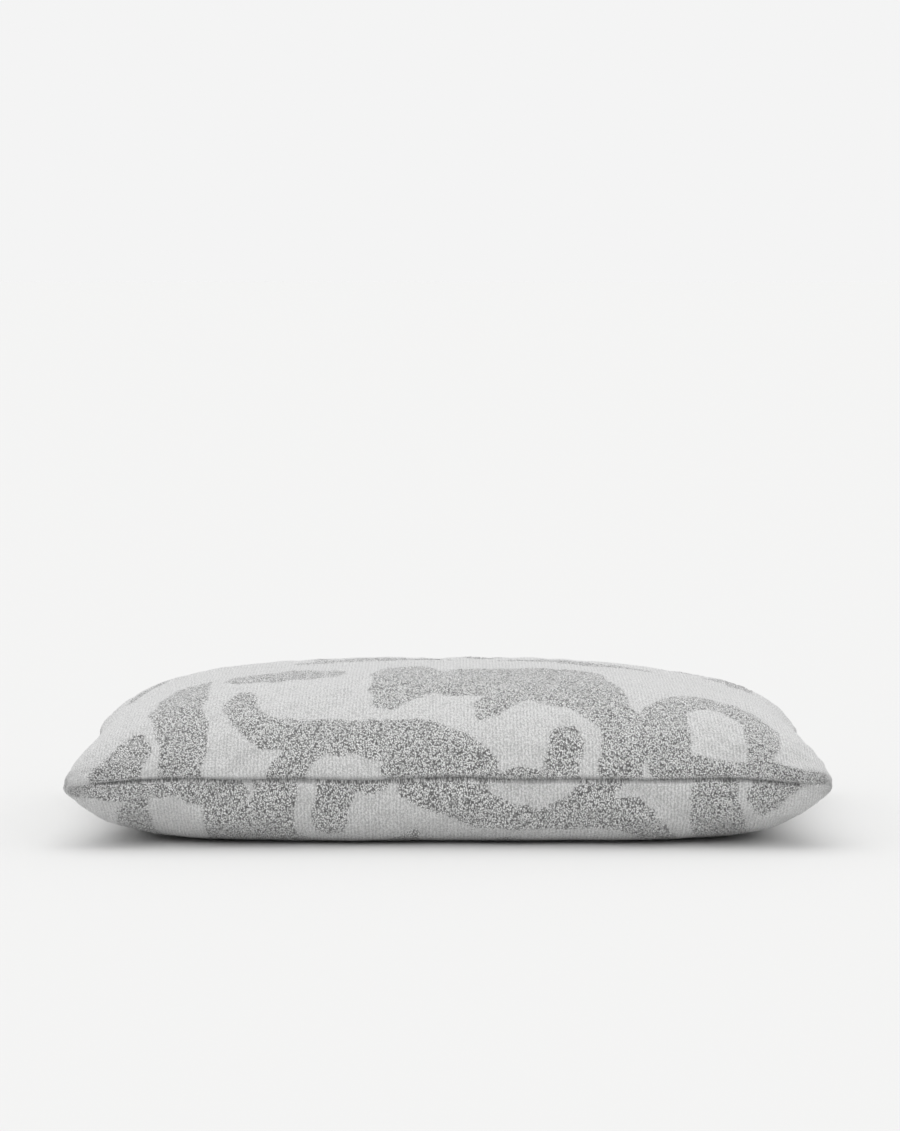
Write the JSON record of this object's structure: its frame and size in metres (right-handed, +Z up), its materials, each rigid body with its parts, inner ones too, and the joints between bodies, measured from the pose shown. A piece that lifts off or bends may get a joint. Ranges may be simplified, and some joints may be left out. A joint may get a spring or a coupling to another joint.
{
  "type": "scatter pillow",
  "caption": "Rectangular knife-edge plush pillow with a two-tone jacquard knit cover, a zip in the rear edge and a sewn, filled insert.",
  "frame": {"origin": "centre of the pillow's bounding box at its underside, where it rests", "axes": "+X along the long edge towards the closed end of the zip, +Y towards the zipped rear edge, +Z up"},
  "size_m": [0.4965, 0.2891, 0.107],
  "materials": {
    "cover_knit": "boucle jacquard knit, matt, off-white and light grey",
    "sewing_thread": "spun polyester thread",
    "insert_casing": "plain nonwoven",
    "fibre_fill": "loose polyester fibre",
    "zip_tape": "woven polyester tape",
    "zip_coil": "nylon coil, semi-gloss",
    "zip_metal": "painted zinc, semi-gloss",
    "label_satin": "blank satin ribbon"
  },
  "bodies": {
    "pillow": {"cover_top_panel": "cover_knit", "cover_bottom_panel": "cover_knit", "cover_seam_thread": "sewing_thread", "cover_overlock_thread": "sewing_thread", "insert_casing_top": "insert_casing", "insert_casing_bottom": "insert_casing", "insert_seam_thread": "sewing_thread", "insert_fill": "fibre_fill", "zip_tape_upper": "zip_tape", "zip_tape_lower": "zip_tape", "zip_coil_upper": "zip_coil", "zip_coil_lower": "zip_coil", "zip_core_cord_upper": "zip_tape", "zip_core_cord_lower": "zip_tape", "zip_stitching_upper": "sewing_thread", "zip_stitching_lower": "sewing_thread", "zip_top_stops": "zip_metal", "zip_bottom_stop": "zip_metal", "zip_end_bartacks": "sewing_thread", "care_label": "label_satin"},
    "slider": {"zip_slider_body": "zip_metal"},
    "pull_tab": {"zip_pull_tab": "zip_metal"}
  },
  "joints": [
    {"name": "zip_slide", "type": "slide", "parent": "pillow", "child": "slider", "axis": [-1, 0, 0], "range_m": [0, 0.356], "deforming": ["zip_coil_upper", "zip_coil_lower", "zip_core_cord_upper", "zip_core_cord_lower"]},
    {"name": "pull_tab_swing", "type": "hinge", "parent": "slider", "child": "pull_tab", "pos_m": [0.18, 0.1419, 0.045], "axis": [0, 0, -1], "range_deg": [0, 150]}
  ]
}
